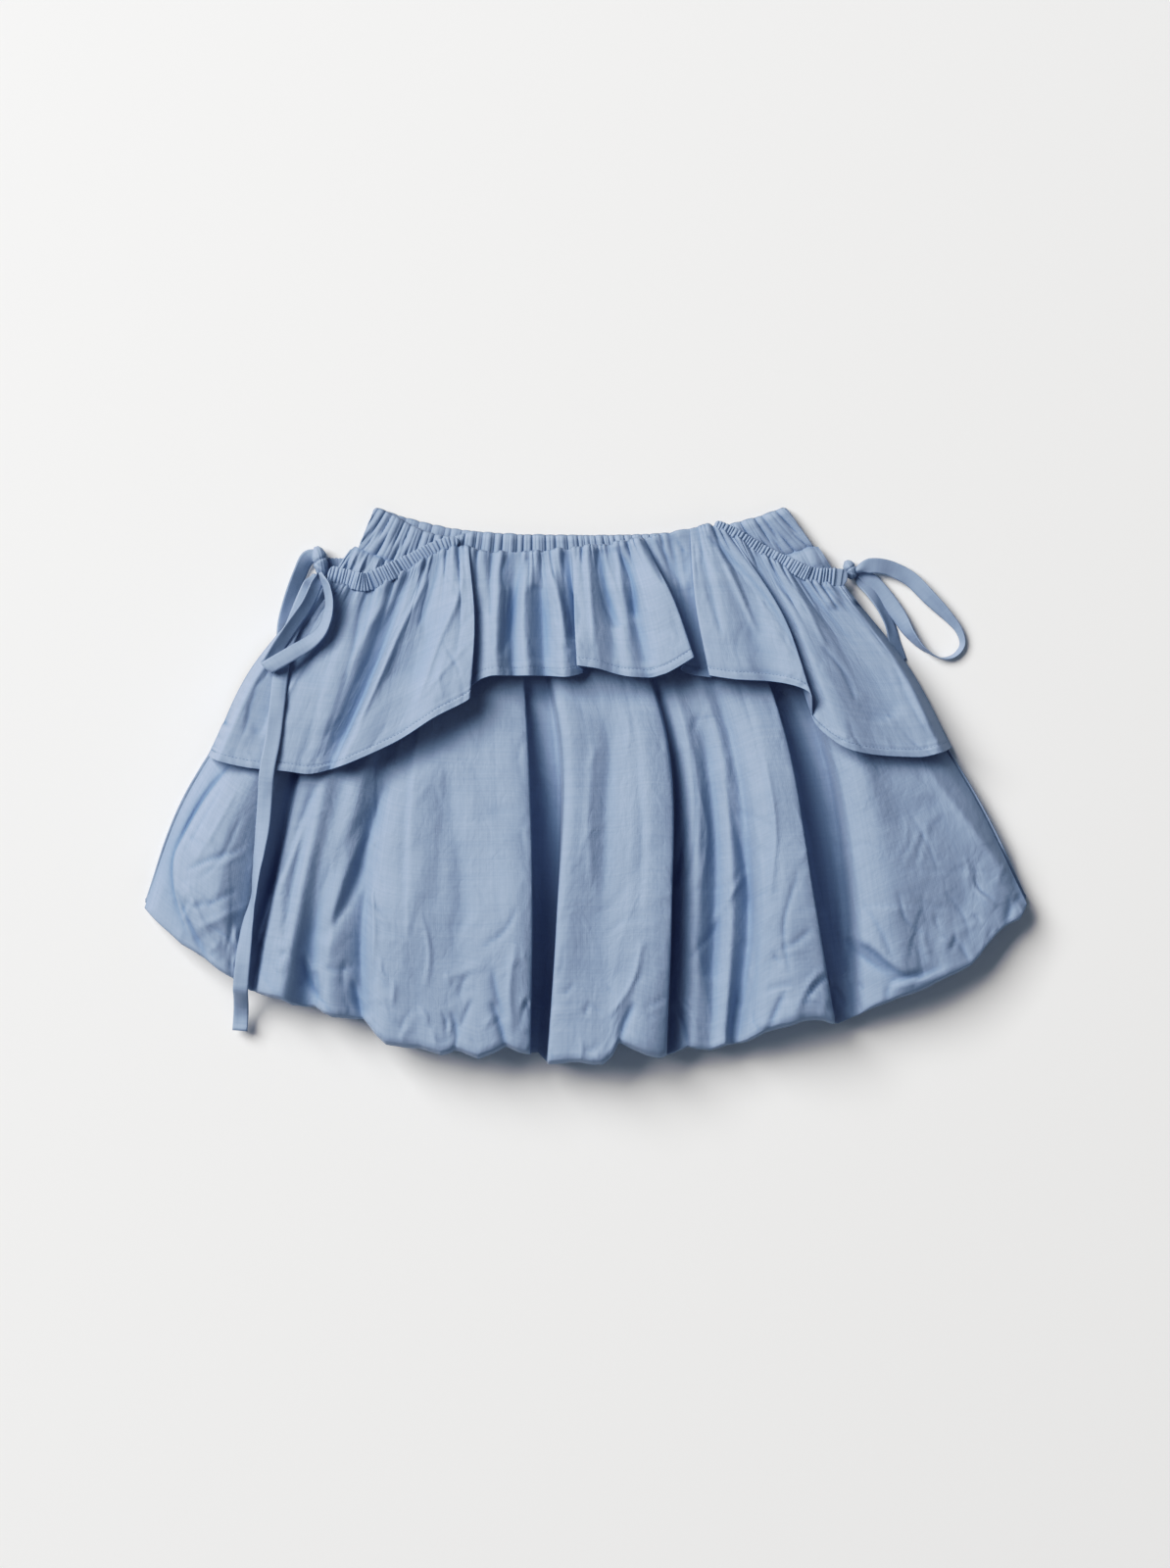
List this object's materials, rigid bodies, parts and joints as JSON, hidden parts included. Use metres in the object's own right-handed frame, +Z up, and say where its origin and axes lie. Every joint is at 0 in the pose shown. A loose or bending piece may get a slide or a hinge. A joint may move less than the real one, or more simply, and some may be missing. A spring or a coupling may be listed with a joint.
{
  "type": "elastic waist skirt",
  "caption": "Short balloon-hem skirt with a gathered elastic waistband and a tied overskirt flounce, laid flat with its hem puffed.",
  "frame": {"origin": "middle of the skirt's bounding box, on the surface it lies on", "axes": "+X to the right of the front panel, +Y from the hem to the waist, +Z up from the surface to the front"},
  "size_m": [0.633, 0.3982, 0.0526],
  "materials": {
    "skirt_cloth": "crisp slubbed plain weave, soft sheen",
    "flounce_cloth": "crisp slubbed plain weave, soft sheen",
    "band_cloth": "gathered plain weave over elastic",
    "casing_cloth": "drawn-up plain weave",
    "tie_cloth": "folded and pressed plain weave"
  },
  "bodies": {
    "root": {"waistband_front": "band_cloth", "waistband_back": "band_cloth", "shell_front": "skirt_cloth", "shell_back": "skirt_cloth", "flounce_front": "flounce_cloth", "flounce_back": "flounce_cloth", "casing_left_front": "casing_cloth", "casing_left_back": "casing_cloth", "casing_right_front": "casing_cloth", "casing_right_back": "casing_cloth", "tie_left_knot": "tie_cloth", "tie_left_loop": "tie_cloth", "tie_left_tail": "tie_cloth", "tie_left_under": "tie_cloth", "tie_right_knot": "tie_cloth", "tie_right_loop": "tie_cloth", "tie_right_under": "tie_cloth"}
  },
  "joints": []
}
